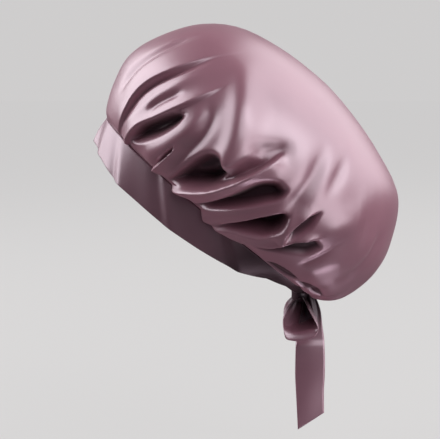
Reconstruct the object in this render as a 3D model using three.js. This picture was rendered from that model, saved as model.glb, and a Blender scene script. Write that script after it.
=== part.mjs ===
// A satin sleep bonnet: a puffed crown gathered onto a flat band, and a bow of two loops
// and two ends at the nape. Millimetres, +Z up. The wearer faces -Y and the wearer's left
// is +X. The origin is the middle of the head opening, where the band meets the head.
import * as THREE from 'three';

// Driving sizes.
const HEAD_TILT = THREE.MathUtils.degToRad(40); // the forehead side of the opening is lifted
const CLOTH = 1.6; // the gathered crown's wall
const BAND_WALL = 1.8; // two layers of satin and a seam allowance
const RIBBON_WALL = 1.2;
const RIBBON_WIDTH = 25;
const GAP = 0.3; // between pieces that touch
const SEAM_RISE = 14.5; // height of the band's upper edge over the opening's middle
const CROWN_COLUMNS = 88;
const CROWN_ROWS = 17;
const FOLD_FREE_RIM = 0.05; // the crown's folds start above this share of a meridian
const NAPE_GAP_ANGLE = 6; // degrees each side of the nape where the band runs into the knot

// The crown's form without folds: how far it reaches from the middle and how high it is,
// at equal steps from the seam to the top, along the front, the side and the back.
const CROWN_COLUMN_NAMES = ['frontReach', 'frontRise', 'sideReach', 'sideRise', 'backReach', 'backRise'];
const CROWN_STATIONS = [
  [113, 14.5, 78, 14.5, 110, 14.5],
  [119, 21, 91, 20, 123, 11],
  [127, 40, 107, 36, 137, 28],
  [132, 66, 119, 66, 144, 60],
  [124, 93, 115, 95, 138, 88],
  [104, 124, 96, 123, 117, 122],
  [76, 144, 66, 142, 78, 140],
  [38, 153, 33, 152, 36, 151],
  [0, 155, 0, 155, 0, 155],
].map((row) => Object.fromEntries(CROWN_COLUMN_NAMES.map((name, k) => [name, row[k]])));

// The gathers of the crown's near half, mirrored onto the other half. Angles are degrees
// round the opening from the forehead; start and end are shares of the way from the seam
// to the top; width is the half width in degrees; height is outwards, and inwards if negative.
const CROWN_FOLDS = [
  { startAngle: 19, endAngle: 36, start: 0.12, end: 0.6, width: 6, height: 5 },
  { startAngle: 22, endAngle: 17, start: 0.2, end: 0.6, width: 5, height: -3 },
  { startAngle: 29, endAngle: 41, start: 0.1, end: 0.6, width: 5, height: -5 },
  { startAngle: 38, endAngle: 52, start: 0.0, end: 0.55, width: 5, height: 5 },
  { startAngle: 46, endAngle: 56, start: 0.03, end: 0.5, width: 5, height: -6 },
  { startAngle: 58, endAngle: 64, start: 0.0, end: 0.45, width: 5, height: 4 },
  { startAngle: 67, endAngle: 72, start: 0.03, end: 0.5, width: 6, height: -4 },
  { startAngle: 74, endAngle: 94, start: 0.0, end: 0.55, width: 6, height: 5 },
  { startAngle: 84, endAngle: 102, start: 0.0, end: 0.5, width: 6, height: -5 },
  { startAngle: 98, endAngle: 112, start: 0.02, end: 0.42, width: 6, height: -5 },
  { startAngle: 111, endAngle: 128, start: 0.02, end: 0.45, width: 6, height: 4 },
  { startAngle: 123, endAngle: 136, start: 0.05, end: 0.38, width: 5, height: -3 },
  { startAngle: 118, endAngle: 112, start: 0.3, end: 0.6, width: 5, height: -2 },
  { startAngle: 142, endAngle: 144, start: 0.0, end: 0.3, width: 5, height: -3 },
  { startAngle: 158, endAngle: 160, start: 0.0, end: 0.3, width: 6, height: -3 },
];

// The band's lower edge round the near half, from the forehead to the nape.
const HEM = [
  { angle: 0, rise: -9, reach: 0.92 },
  { angle: 28, rise: -13.5, reach: 0.93 },
  { angle: 49, rise: -16.2, reach: 0.95 },
  { angle: 80, rise: -16.8, reach: 0.97 },
  { angle: 98, rise: -14.5, reach: 0.97 },
  { angle: 121, rise: -9.5, reach: 0.96 },
  { angle: 139, rise: -1, reach: 0.95 },
  { angle: 153, rise: 3.5, reach: 0.95 },
  { angle: 180, rise: 2, reach: 0.97 },
];
const BAND_COLUMNS = 72;
const BAND_ROWS = 3;

// Soft creases that cross the band, and the small pleat that stands out at the forehead.
const BAND_FOLDS = [
  { angle: 4, width: 5, top: 0, bottom: 5 },
  { angle: 16, width: 5, top: 0, bottom: -1.5 },
  { angle: 45, width: 5, top: 0.3, bottom: 1.8 },
  { angle: 77, width: 5, top: -0.6, bottom: 1.2 },
  { angle: 108, width: 6, top: -0.5, bottom: 0.8 },
];

const KNOT_CENTRE = new THREE.Vector3(0, 85.5, -66);
const KNOT_HALF = new THREE.Vector3(8, 7, 8.5);

// The near loop's outline seen from the side, clockwise from the knot: back and up.
const LOOP_OUTLINE = [
  { back: 2.5, up: -9.2 },
  { back: 7.5, up: -16 },
  { back: 12.5, up: -24 },
  { back: 15.5, up: -30 },
  { back: 13.5, up: -34.5 },
  { back: 5, up: -36 },
  { back: -6, up: -35 },
  { back: -11.5, up: -30 },
  { back: -13, up: -22 },
  { back: -9.5, up: -14.5 },
  { back: -2.5, up: -9.2 },
];
const LOOP_INSIDE_EDGE = 3; // how far the loop stays from the middle plane
const LOOP_DROP = 8; // the inside edge hangs lower than the outside one by this much

// An end's middle line below the knot, and how it is cut.
const TAIL_LINE = [
  { back: 5.5, down: -9.6, width: 16 },
  { back: 8.8, down: -24, width: 22 },
  { back: 10.2, down: -40, width: 25 },
  { back: 9.8, down: -60, width: 25 },
  { back: 10.5, down: -85, width: 25 },
  { back: 11.5, down: -106, width: 24 },
];
const TAIL_SLANT = 14; // how much further the front corner of the cut hangs
const TAIL_APART = 1.8; // from the middle plane to the end's inner face

function satin(color, roughness) {
  return new THREE.MeshStandardMaterial({ color, roughness, metalness: 0 });
}

const crownSatin = satin(0xb98ea0, 0.34);
const bandSatin = satin(0xa67c90, 0.38);
const ribbonSatin = satin(0xa97f92, 0.36);

// Catmull-Rom through the values of a table's column, with position counted in rows.
function spline(before, from, to, after, share) {
  const square = share * share;
  return 0.5 * (2 * from + (to - before) * share
    + (2 * before - 5 * from + 4 * to - after) * square
    + (3 * from - before - 3 * to + after) * square * share);
}

// The crown's unfolded form, share of the way up; past the top the reaches change sign.
function crownStation(share) {
  const last = CROWN_STATIONS.length - 1;
  const position = Math.min(share * last, last - 1e-9);
  const row = Math.floor(position);
  const value = (name) => {
    const from = CROWN_STATIONS[row][name];
    const to = CROWN_STATIONS[row + 1][name];
    const before = row > 0 ? CROWN_STATIONS[row - 1][name] : 2 * from - to;
    const over = name.endsWith('Reach') ? -1 : 1;
    const after = row + 2 <= last ? CROWN_STATIONS[row + 2][name] : over * CROWN_STATIONS[last - 1][name];
    return spline(before, from, to, after, position - row);
  };
  return Object.fromEntries(CROWN_COLUMN_NAMES.map((name) => [name, value(name)]));
}

// A point of the unfolded crown. Angle is in radians from the forehead towards the left.
function crownPoint(angle, share) {
  const station = crownStation(share);
  const ahead = Math.cos(angle);
  const aside = Math.sin(angle);
  const reach = ahead > 0 ? station.frontReach : station.backReach;
  const rise = ahead > 0 ? station.frontRise : station.backRise;
  return new THREE.Vector3(
    station.sideReach * aside,
    -reach * ahead,
    station.sideRise * aside * aside + rise * ahead * ahead,
  );
}

// The unfolded crown's outward normal, from two short steps over it.
function crownNormal(angle, share) {
  const step = 0.004;
  const low = Math.max(share - step, 0);
  const high = Math.min(share + step, 1 - step);
  if (share > 1 - step) return new THREE.Vector3(0, 0, 1);
  const round = crownPoint(angle + step, share).sub(crownPoint(angle - step, share));
  const up = crownPoint(angle, high).sub(crownPoint(angle, low));
  return round.cross(up).normalize();
}

function bell(distance, width) {
  return Math.exp(-((distance / width) ** 2));
}

// How far the gathers move the crown's wall along its normal. Degrees are 0 at the
// forehead and 180 at the nape, on either side.
function gather(degrees, share) {
  const open = THREE.MathUtils.smoothstep(share, 0.01, FOLD_FREE_RIM + 0.08);
  let total = 0;
  for (const fold of CROWN_FOLDS) {
    const along = (share - fold.start) / (fold.end - fold.start);
    if (along < 0 || along > 1) continue;
    const middle = THREE.MathUtils.lerp(fold.startAngle, fold.endAngle, along);
    const fade = THREE.MathUtils.smoothstep(1 - along, 0, 0.45) * THREE.MathUtils.smoothstep(along, -0.3, 0.2);
    total += fold.height * fade * bell(degrees - middle, fold.width);
  }
  return total * open;
}

// One closed wall from an outer and an inner grid of points, both [row][column]. Where
// wrap is set the columns close on themselves; where tip is set the last row is one point.
function closedWall(outer, inner, { wrap = false, tip = false } = {}) {
  const rows = outer.length;
  const columns = outer[0].length;
  const points = [];
  const index = (grid) => grid.map((row, r) => {
    if (tip && r === rows - 1) {
      points.push(row[0]);
      return row.map(() => points.length - 1);
    }
    return row.map((point) => points.push(point) - 1);
  });
  const sheets = [index(outer), index(inner)];
  const faces = [];
  const face = (a, b, c) => {
    if (a !== b && b !== c && a !== c) faces.push(a, b, c);
  };
  const quad = (a, b, c, d) => {
    face(a, b, c);
    face(a, c, d);
  };
  const spans = wrap ? columns : columns - 1;
  for (let r = 0; r < rows - 1; r += 1) {
    for (let c = 0; c < spans; c += 1) {
      const next = (c + 1) % columns;
      const [o, i] = sheets;
      quad(o[r][c], o[r][next], o[r + 1][next], o[r + 1][c]);
      quad(i[r][c], i[r + 1][c], i[r + 1][next], i[r][next]);
    }
  }
  const edge = (r, c, nextRow, nextColumn) => {
    const [o, i] = sheets;
    quad(o[r][c], i[r][c], i[nextRow][nextColumn], o[nextRow][nextColumn]);
  };
  for (let c = 0; c < spans; c += 1) {
    const next = (c + 1) % columns;
    edge(0, c, 0, next);
    if (!tip) edge(rows - 1, next, rows - 1, c);
  }
  if (!wrap) {
    for (let r = 0; r < rows - 1; r += 1) {
      edge(r + 1, 0, r, 0);
      edge(r, columns - 1, r + 1, columns - 1);
    }
  }
  return solidFrom(points, faces);
}

// A geometry from points and triangles, turned so that its faces point outwards.
function solidFrom(points, faces) {
  let volume = 0;
  for (let k = 0; k < faces.length; k += 3) {
    const [a, b, c] = [points[faces[k]], points[faces[k + 1]], points[faces[k + 2]]];
    volume += a.dot(new THREE.Vector3().crossVectors(b, c));
  }
  const order = volume > 0 ? faces : faces.slice().reverse();
  const geometry = new THREE.BufferGeometry();
  geometry.setAttribute('position', new THREE.Float32BufferAttribute(points.flatMap((p) => p.toArray()), 3));
  geometry.setIndex(order);
  geometry.computeVertexNormals();
  return geometry;
}

function grid(rows, columns, point) {
  return Array.from({ length: rows }, (_, r) => Array.from({ length: columns }, (__, c) => point(r, c)));
}

function crown() {
  const point = (inset) => (row, column) => {
    const share = (row / CROWN_ROWS) ** 1.15;
    const angle = (column / CROWN_COLUMNS) * 2 * Math.PI;
    const degrees = Math.abs(THREE.MathUtils.radToDeg(Math.atan2(Math.sin(angle), Math.cos(angle))));
    const place = crownPoint(angle, share);
    const normal = crownNormal(angle, share);
    if (row === 0) {
      normal.z = 0;
      normal.normalize();
    }
    return place.addScaledVector(normal, gather(degrees, share) - inset);
  };
  const outer = grid(CROWN_ROWS + 1, CROWN_COLUMNS, point(0));
  const inner = grid(CROWN_ROWS + 1, CROWN_COLUMNS, point(CLOTH));
  return closedWall(outer, inner, { wrap: true, tip: true });
}

// The hem's rise and inward lean at an angle from the forehead, straight between rows.
function hemAt(degrees) {
  const next = Math.max(1, HEM.findIndex((row) => row.angle >= degrees));
  const [from, to] = [HEM[next - 1], HEM[next]];
  const share = (degrees - from.angle) / (to.angle - from.angle);
  return {
    rise: THREE.MathUtils.lerp(from.rise, to.rise, share),
    reach: THREE.MathUtils.lerp(from.reach, to.reach, share),
  };
}

function bandFold(signedDegrees, down) {
  return BAND_FOLDS.reduce((total, fold) => {
    const near = bell(signedDegrees - fold.angle, fold.width) + bell(signedDegrees + fold.angle, fold.width);
    return total + near * THREE.MathUtils.lerp(fold.top, fold.bottom, down);
  }, 0);
}

function band() {
  const first = -180 + NAPE_GAP_ANGLE;
  const sweep = 360 - 2 * NAPE_GAP_ANGLE;
  const point = (inset) => (row, column) => {
    const signed = first + (column / BAND_COLUMNS) * sweep;
    const angle = THREE.MathUtils.degToRad(signed);
    const down = row / BAND_ROWS;
    const hem = hemAt(Math.abs(signed));
    const seam = crownPoint(angle, 0);
    const outwards = new THREE.Vector3(seam.x, seam.y, 0).normalize();
    const place = seam.clone().multiplyScalar(THREE.MathUtils.lerp(1, hem.reach, down));
    place.z = THREE.MathUtils.lerp(SEAM_RISE - GAP, hem.rise, down);
    return place.addScaledVector(outwards, bandFold(signed, down) - inset);
  };
  const outer = grid(BAND_ROWS + 1, BAND_COLUMNS + 1, point(0));
  const inner = grid(BAND_ROWS + 1, BAND_COLUMNS + 1, point(BAND_WALL));
  return closedWall(outer, inner);
}

// The bow's knot: a rounded lump, narrower where the wrap pulls it in.
function knot() {
  const geometry = new THREE.SphereGeometry(1, 14, 10);
  geometry.scale(KNOT_HALF.x, KNOT_HALF.y, KNOT_HALF.z);
  return geometry;
}

// One loop of the bow on the left (side 1) or the right (side -1) of the middle plane.
function loop(side) {
  const line = new THREE.CatmullRomCurve3(
    LOOP_OUTLINE.map((row) => new THREE.Vector3(0, row.back, row.up)), true, 'centripetal');
  const columns = 32;
  const rows = 3;
  const point = (inset) => (row, column) => {
    const share = column / columns;
    const place = line.getPointAt(share);
    const tangent = line.getTangentAt(share);
    const outwards = new THREE.Vector3(0, -tangent.z, tangent.y);
    const across = row / rows;
    const open = THREE.MathUtils.smoothstep(-place.z, 9, 26);
    const width = THREE.MathUtils.lerp(5, RIBBON_WIDTH, open);
    place.x = side * (LOOP_INSIDE_EDGE + across * width);
    place.z -= LOOP_DROP * open * (1 - across);
    return place.addScaledVector(outwards, -inset);
  };
  return closedWall(grid(rows + 1, columns, point(0)), grid(rows + 1, columns, point(RIBBON_WALL)), { wrap: true });
}

// One hanging end of the ribbon, cut on a slant.
function tail(side) {
  const line = new THREE.CatmullRomCurve3(
    TAIL_LINE.map((row) => new THREE.Vector3(row.width, row.back, row.down)), false, 'centripetal');
  const columns = 14;
  const rows = 3;
  const point = (inset) => (row, column) => {
    const share = column / columns;
    const sample = line.getPoint(share);
    const across = row / rows;
    const slant = share ** 6 * TAIL_SLANT * (1 - across);
    return new THREE.Vector3(
      side * (TAIL_APART + inset),
      sample.y + (across - 0.5) * sample.x,
      sample.z - slant,
    );
  };
  return closedWall(grid(rows + 1, columns + 1, point(RIBBON_WALL)), grid(rows + 1, columns + 1, point(0)));
}

function piece(name, geometry, material) {
  const mesh = new THREE.Mesh(geometry, material);
  mesh.name = name;
  return mesh;
}

const worn = new THREE.Group();
worn.rotation.x = -HEAD_TILT;
worn.add(
  piece('crown', crown(), crownSatin),
  piece('band', band(), bandSatin),
);

const bow = new THREE.Group();
bow.position.copy(KNOT_CENTRE);
bow.add(
  piece('knot', knot(), ribbonSatin),
  piece('loop_left', loop(1), ribbonSatin),
  piece('loop_right', loop(-1), ribbonSatin),
  piece('tail_left', tail(1), ribbonSatin),
  piece('tail_right', tail(-1), ribbonSatin),
);

const group = new THREE.Group();
group.add(worn, bow);

export default group;
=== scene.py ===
"""A satin sleep bonnet: a gathered crown, a flat band and a tied ribbon bow.

The wearer faces -Y and the wearer's left is +X. The crown and the band are laid out round the
opening's own axes, which are tilted back from the world's, and the bow hangs straight down. Their
tables are in millimetres, and their meshes are placed in metres.
"""

import logging
import math
from dataclasses import astuple, dataclass, replace
from enum import Enum

import bmesh
import bpy
import numpy as np
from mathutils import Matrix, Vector


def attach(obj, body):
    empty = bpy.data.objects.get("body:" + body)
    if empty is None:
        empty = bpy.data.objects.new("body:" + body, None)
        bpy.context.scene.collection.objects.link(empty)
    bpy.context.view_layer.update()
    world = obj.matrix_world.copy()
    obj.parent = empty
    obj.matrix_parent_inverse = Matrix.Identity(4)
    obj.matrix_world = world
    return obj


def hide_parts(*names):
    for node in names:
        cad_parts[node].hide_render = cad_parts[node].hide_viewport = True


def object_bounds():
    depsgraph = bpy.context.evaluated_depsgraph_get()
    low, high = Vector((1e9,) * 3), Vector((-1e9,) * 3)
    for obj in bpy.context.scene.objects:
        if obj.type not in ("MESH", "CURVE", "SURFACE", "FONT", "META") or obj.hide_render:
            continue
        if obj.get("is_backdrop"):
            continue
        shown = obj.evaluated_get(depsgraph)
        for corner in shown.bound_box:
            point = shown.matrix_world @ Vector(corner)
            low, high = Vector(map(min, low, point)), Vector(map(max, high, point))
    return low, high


MM = 0.001
# Painted shade: this attribute holds the shade painted on each point, which the satin darkens by.
PAINTED_SHADE = "hollow"  # the attribute that says how hidden from the light a point is
FLAT_CUT = "cut"  # the UV map, laid over each sheet as it is cut
HEAD_TILT = math.radians(40)
TINY = 1e-3
EPSILON = 1e-9

Colour = tuple[float, float, float]
Route = tuple[tuple[float, float], ...]

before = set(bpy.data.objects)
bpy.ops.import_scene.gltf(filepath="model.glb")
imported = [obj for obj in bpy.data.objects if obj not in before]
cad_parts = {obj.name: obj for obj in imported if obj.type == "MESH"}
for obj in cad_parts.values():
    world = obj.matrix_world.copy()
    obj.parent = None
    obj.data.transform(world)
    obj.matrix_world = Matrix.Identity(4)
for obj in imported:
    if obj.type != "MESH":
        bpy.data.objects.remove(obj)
CAD_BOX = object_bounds()

log = logging.getLogger("bonnet")


class Side(Enum):
    """The bonnet's two sides, as the wearer has them."""

    LEFT = 1
    RIGHT = -1


# ------------------------------------------------------------------ curves and axes


def tilt(points: np.ndarray) -> np.ndarray:
    """Turn points from the opening's axes to the world's.

    Args:
        points: An array whose last axis is left, back along the opening, and up the crown.

    Returns:
        The same points as world X, Y and Z.
    """
    cos, sin = math.cos(HEAD_TILT), math.sin(HEAD_TILT)
    left, back, up = points[..., 0], points[..., 1], points[..., 2]
    return np.stack([left, back * cos + up * sin, -back * sin + up * cos], axis=-1)


def smoothstep(value: np.ndarray, low: float, high: float) -> np.ndarray:
    """Ease from 0 at low to 1 at high."""
    share = np.clip((value - low) / (high - low), 0, 1)
    return share * share * (3 - 2 * share)


def fade(share: np.ndarray, begin: float, end: float) -> np.ndarray:
    """Ease a stroke in at its start and out at its end.

    Args:
        share: How far along the stroke each point is.
        begin: The share of its length over which it begins.
        end: The share over which it ends.

    Returns:
        Its strength at each point, from 0 to 1.
    """
    into = smoothstep(share, -begin / 2 - TINY, begin / 2)
    return into * (1 - smoothstep(share, 1 - end, 1 + end / 4 + TINY))


def ridge(away: np.ndarray, width: np.ndarray, edge: float, rounding: float) -> np.ndarray:
    """Shape a ridge's profile.

    Args:
        away: Each point's distance from the crest.
        width: The half width on that point's side.
        edge: 1 for a sharp crest, 2 for a round one.
        rounding: How much a sharp crest is rounded off.

    Returns:
        The profile, 1 or nearly so at the crest.
    """
    return np.exp(-((away**2 + rounding) ** (edge / 2)) / width**edge)


def spline(knots: np.ndarray, share: np.ndarray) -> np.ndarray:
    """Follow a Catmull-Rom curve through evenly spaced knots.

    Args:
        knots: One row for each knot.
        share: Where on the curve, from 0 to 1.

    Returns:
        One row for each share.
    """
    padded = np.vstack([2 * knots[0] - knots[1], knots, 2 * knots[-1] - knots[-2]])
    spans = len(knots) - 1
    place = np.clip(share * spans, 0, spans - EPSILON)
    start = place.astype(int)
    part = (place - start)[..., None]
    before, here, after, beyond = (padded[start + k] for k in range(4))
    return 0.5 * (
        2 * here
        + (after - before) * part
        + (2 * before - 5 * here + 4 * after - beyond) * part**2
        + (3 * here - before - 3 * after + beyond) * part**3
    )


def towards(azimuth: float, elevation: float) -> Vector:
    """Find the way from the bonnet to something that stands round it.

    Args:
        azimuth: Degrees round it from the front, towards the wearer's left.
        elevation: Degrees over the level.

    Returns:
        A unit vector.
    """
    turn, lift = math.radians(azimuth), math.radians(elevation)
    level = math.cos(lift)
    return Vector((math.sin(turn) * level, -math.cos(turn) * level, math.sin(lift)))


# ------------------------------------------------------------------ finishes


def add_node(
    tree: bpy.types.NodeTree,
    kind: str,
    values: dict[str, float] | None = None,
    feeds: dict[str, bpy.types.NodeSocket] | None = None,
) -> bpy.types.Node:
    """Add a node, set its inputs and link what feeds them.

    Args:
        tree: The node tree that it goes into.
        kind: Its type.
        values: What to set, by the input's name.
        feeds: What to link, by the input's name.

    Returns:
        The new node.
    """
    node = tree.nodes.new(kind)
    for name, value in (values or {}).items():
        node.inputs[name].default_value = value
    for name, source in (feeds or {}).items():
        tree.links.new(source, node.inputs[name])
    return node


def blend(
    tree: bpy.types.NodeTree,
    share: bpy.types.NodeSocket,
    one: bpy.types.NodeSocket,
    other: Colour,
) -> bpy.types.NodeSocket:
    """Mix from one colour to another.

    Args:
        tree: The material's node tree.
        share: How much of the other colour shows.
        one: The first colour.
        other: The colour that it is mixed with.

    Returns:
        The mixed colour.
    """
    mix = tree.nodes.new("ShaderNodeMix")
    mix.data_type = "RGBA"
    mix.inputs["B"].default_value = (*other, 1)
    tree.links.new(share, mix.inputs["Factor"])
    tree.links.new(one, mix.inputs["A"])
    return mix.outputs["Result"]


def ramp(
    tree: bpy.types.NodeTree,
    source: bpy.types.NodeSocket,
    to: tuple[float, float],
    over: tuple[float, float] = (0.0, 1.0),
) -> bpy.types.NodeSocket:
    """Run a value from one range to another.

    Args:
        tree: The material's node tree.
        source: The value.
        to: What its range becomes.
        over: Its range.

    Returns:
        The new value.
    """
    values = {"From Min": over[0], "From Max": over[1], "To Min": to[0], "To Max": to[1]}
    return add_node(tree, "ShaderNodeMapRange", values, {"Value": source}).outputs["Result"]


@dataclass(frozen=True)
class Satin:
    """One satin finish.

    Attributes:
        name: The material's name, which is also its slot's.
        face: The colour of the weave's lighter patches, where no shade is painted.
        deep: The colour of its darker patches; a dim copy of it is the painted shade.
        roughness: How wide its gloss spreads.
        selvedge: Whether its long edges are woven paler.
        selvedge_band: Where the pale edge ends, as shares of the width.
        selvedge_tone: How much brighter than the face it is.
        selvedge_cover: How much of it shows.
        uneven: How far the roughness strays, less and more.
        anisotropy: How much the floats draw the gloss out.
        index: The floats' index of refraction.
        gloss_tint: The colour of the gloss.
        open_gloss: The strength of the gloss where no shade is painted.
        hollow_gloss: The same where shade is painted in full: the painted shade dims the gloss too.
        hollow_tone: How much of the deep colour is left where shade is painted in full.
        sheen: The strength of the nap's sheen.
        sheen_spread: How wide the sheen spreads.
        cloud_scale: How many of the soft patches of tone there are to a metre.
        cloud_detail: How many sizes of patch there are.
        cloud_band: Where between two patches the tone changes.
        slub_scale: How many of the cloth's small bumps there are to a metre.
        slub_detail: How many sizes of bump there are.
        slub_height: How high they are, in metres.
        slub: How strongly they show.
    """

    name: str
    face: Colour
    deep: Colour
    roughness: float
    selvedge: bool = False
    selvedge_band: tuple[float, float] = (0.03, 0.055)
    selvedge_tone: float = 1.6
    selvedge_cover: float = 0.45
    uneven: tuple[float, float] = (0.04, 0.05)
    anisotropy: float = 0.2
    index: float = 2.6
    gloss_tint: Colour = (1.0, 0.88, 0.97)
    open_gloss: float = 0.5
    hollow_gloss: float = 0.12
    hollow_tone: float = 0.12
    sheen: float = 0.1
    sheen_spread: float = 0.4
    cloud_scale: float = 14
    cloud_detail: float = 4
    cloud_band: tuple[float, float] = (0.3, 0.62)
    slub_scale: float = 900
    slub_detail: float = 2
    slub_height: float = 0.12 * MM
    slub: float = 0.25

    def tone(self, tree: bpy.types.NodeTree, clouds: bpy.types.NodeSocket) -> bpy.types.NodeSocket:
        """Find the weave's colour, with its selvedges if it has them.

        Args:
            tree: The material's node tree.
            clouds: The soft patches of tone.

        Returns:
            The colour.
        """
        patches = add_node(tree, "ShaderNodeValToRGB")
        ends = zip(patches.color_ramp.elements, self.cloud_band, (self.deep, self.face))
        for end, position, colour in ends:
            end.position = position
            end.color = (*colour, 1)
        tree.links.new(clouds, patches.inputs["Fac"])
        if not self.selvedge:
            return patches.outputs["Color"]
        cut = add_node(tree, "ShaderNodeUVMap")
        cut.uv_map = FLAT_CUT
        parts = add_node(tree, "ShaderNodeSeparateXYZ", feeds={"Vector": cut.outputs["UV"]})
        # The share of the width from each point to the nearer long edge.
        edge = tree.nodes.new("ShaderNodeMath")
        edge.operation = "PINGPONG"
        edge.inputs[1].default_value = 0.5
        tree.links.new(parts.outputs["Y"], edge.inputs[0])
        cover = ramp(tree, edge.outputs["Value"], (self.selvedge_cover, 0.0), self.selvedge_band)
        paler = tuple(min(1.0, value * self.selvedge_tone) for value in self.face)
        return blend(tree, cover, patches.outputs["Color"], paler)

    def material(self) -> bpy.types.Material:
        """Make the finish's node material.

        Returns:
            The new material.
        """
        material = bpy.data.materials.new(self.name)
        material.use_nodes = True
        tree = material.node_tree
        place = add_node(tree, "ShaderNodeTexCoord").outputs["Object"]
        # Painted shade: the hollow attribute mixes the colour towards a dim copy of the deep colour
        # and lowers the gloss.
        hollow = add_node(tree, "ShaderNodeAttribute")
        hollow.attribute_name = PAINTED_SHADE
        hidden = hollow.outputs["Fac"]
        clouds, slubs = (
            add_node(
                tree, "ShaderNodeTexNoise", {"Scale": scale, "Detail": detail}, {"Vector": place}
            ).outputs["Fac"]
            for scale, detail in (
                (self.cloud_scale, self.cloud_detail), (self.slub_scale, self.slub_detail)
            )
        )
        bump = add_node(
            tree, "ShaderNodeBump", {"Strength": self.slub, "Distance": self.slub_height},
            {"Height": slubs},
        )
        smoother, rougher = self.uneven
        spread = (self.roughness - smoother, self.roughness + rougher)
        # The colour of the painted shade.
        shade = tuple(value * self.hollow_tone for value in self.deep)
        shader = tree.nodes["Principled BSDF"]
        for name, value in {
            "Metallic": 0.0,
            "IOR": self.index,
            "Specular Tint": (*self.gloss_tint, 1),
            "Anisotropic": self.anisotropy,
            "Sheen Weight": self.sheen,
            "Sheen Roughness": self.sheen_spread,
        }.items():
            shader.inputs[name].default_value = value
        for name, source in {
            "Base Color": blend(tree, hidden, self.tone(tree, clouds), shade),
            "Specular IOR Level": ramp(tree, hidden, (self.open_gloss, self.hollow_gloss)),
            "Roughness": ramp(tree, clouds, spread),
            "Normal": bump.outputs["Normal"],
        }.items():
            tree.links.new(source, shader.inputs[name])
        return material


@dataclass(frozen=True)
class Finishes:
    """All the bonnet's finishes."""

    crown: Satin = Satin("crown_satin", (0.31, 0.125, 0.17), (0.27, 0.105, 0.146), 0.36)
    band: Satin = Satin("band_satin", (0.22, 0.088, 0.124), (0.18, 0.07, 0.102), 0.4)
    ribbon: Satin = Satin(
        "ribbon_satin", (0.27, 0.105, 0.15), (0.23, 0.09, 0.127), 0.38, selvedge=True
    )


# ------------------------------------------------------------------ meshes


class Gap(Enum):
    """What a laid out grid leaves open."""

    EDGES = "edges"
    POLES = "poles"


DOUBLED = 0.01 * MM  # points closer than this are one
QUAD_CORNERS = ((0, 0), (1, 0), (1, 1), (0, 1))
TIP_CORNERS = ((0, 0), (1, 0), (0.5, 1))


def lay_uv(mesh: bpy.types.Mesh, rows: int, spans: int) -> None:
    """Give a grid mesh a UV map: U along its columns and V along its rows.

    Args:
        mesh: The mesh, whose faces run along one row after another.
        rows: How many rows of points it has.
        spans: How many faces each row has.
    """
    layer = mesh.uv_layers.new(name=FLAT_CUT)
    for polygon in mesh.polygons:
        row, column = divmod(polygon.index, spans)
        corners = QUAD_CORNERS if polygon.loop_total == len(QUAD_CORNERS) else TIP_CORNERS
        for loop, (across, up) in zip(polygon.loop_indices, corners):
            layer.data[loop].uv = ((column + across) / spans, (row + up) / (rows - 1))


def cloth_object(
    name: str, points: np.ndarray, wrap: bool = False, tip: bool = False
) -> bpy.types.Object:
    """Make a sheet from a grid of points.

    Args:
        name: The object's name.
        points: An array of rows by columns by three.
        wrap: Whether the columns close on themselves.
        tip: Whether the last row is one point.

    Returns:
        The new object, smooth shaded, with a UV map.
    """
    rows, columns = points.shape[:2]
    body = points[:-1] if tip else points
    vertices = body.reshape(-1, 3).tolist()
    faces = []
    spans = columns if wrap else columns - 1
    for row in range(len(body) - 1):
        low, high = row * columns, (row + 1) * columns
        for column in range(spans):
            following = (column + 1) % columns
            faces.append((low + column, low + following, high + following, high + column))
    if tip:
        top, last = len(vertices), (len(body) - 1) * columns
        vertices.append(points[-1, 0].tolist())
        faces += [(last + column, last + (column + 1) % columns, top) for column in range(spans)]
    mesh = bpy.data.meshes.new(name)
    mesh.from_pydata(vertices, [], faces)
    mesh.update()
    mesh.shade_smooth()
    made = bpy.data.objects.new(name, mesh)
    bpy.context.scene.collection.objects.link(made)
    lay_uv(mesh, rows, spans)
    return made


def paint_shade(piece: bpy.types.Object, shade: np.ndarray) -> None:
    """Store each point's painted shade, for the satin to darken and dull its gloss by.

    Args:
        piece: The object.
        shade: Its painted shade, from 0 to 1 for each of its points.
    """
    layer = piece.data.attributes.new(PAINTED_SHADE, "FLOAT", "POINT")
    layer.data.foreach_set("value", np.ascontiguousarray(shade, dtype=np.float32))


def close(piece: bpy.types.Object, gap: Gap) -> None:
    """Close what a grid leaves open and turn its faces outwards.

    Args:
        piece: The object.
        gap: Open edges, which are filled, or rings of doubled points, which are merged.
    """
    mesh = bmesh.new()
    mesh.from_mesh(piece.data)
    if gap is Gap.EDGES:
        edges = [edge for edge in mesh.edges if edge.is_boundary]
        bmesh.ops.holes_fill(mesh, edges=edges, sides=0)
    else:
        bmesh.ops.remove_doubles(mesh, verts=mesh.verts, dist=DOUBLED)
    bmesh.ops.recalc_face_normals(mesh, faces=mesh.faces)
    mesh.to_mesh(piece.data)
    mesh.free()
    piece.data.shade_smooth()


def thicken(piece: bpy.types.Object, thickness: float, offset: float) -> None:
    """Give a sheet its thickness and apply it.

    Args:
        piece: The object.
        thickness: How thick it becomes, in metres.
        offset: -1 to grow inwards from the sheet, 0 to grow both ways.
    """
    bpy.ops.object.select_all(action="DESELECT")
    piece.select_set(True)
    bpy.context.view_layer.objects.active = piece
    solid = piece.modifiers.new("wall", "SOLIDIFY")
    solid.thickness = thickness
    solid.offset = offset
    solid.use_even_offset = False
    solid.use_rim = True
    bpy.ops.object.modifier_apply(modifier=solid.name)


def dress(piece: bpy.types.Object, finish: Satin, node: str) -> None:
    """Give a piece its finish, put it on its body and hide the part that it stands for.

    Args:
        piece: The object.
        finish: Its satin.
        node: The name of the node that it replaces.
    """
    piece.data.materials.append(finish.material())
    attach(piece, "root")
    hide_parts(node)


# ------------------------------------------------------------------ the crown


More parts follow.
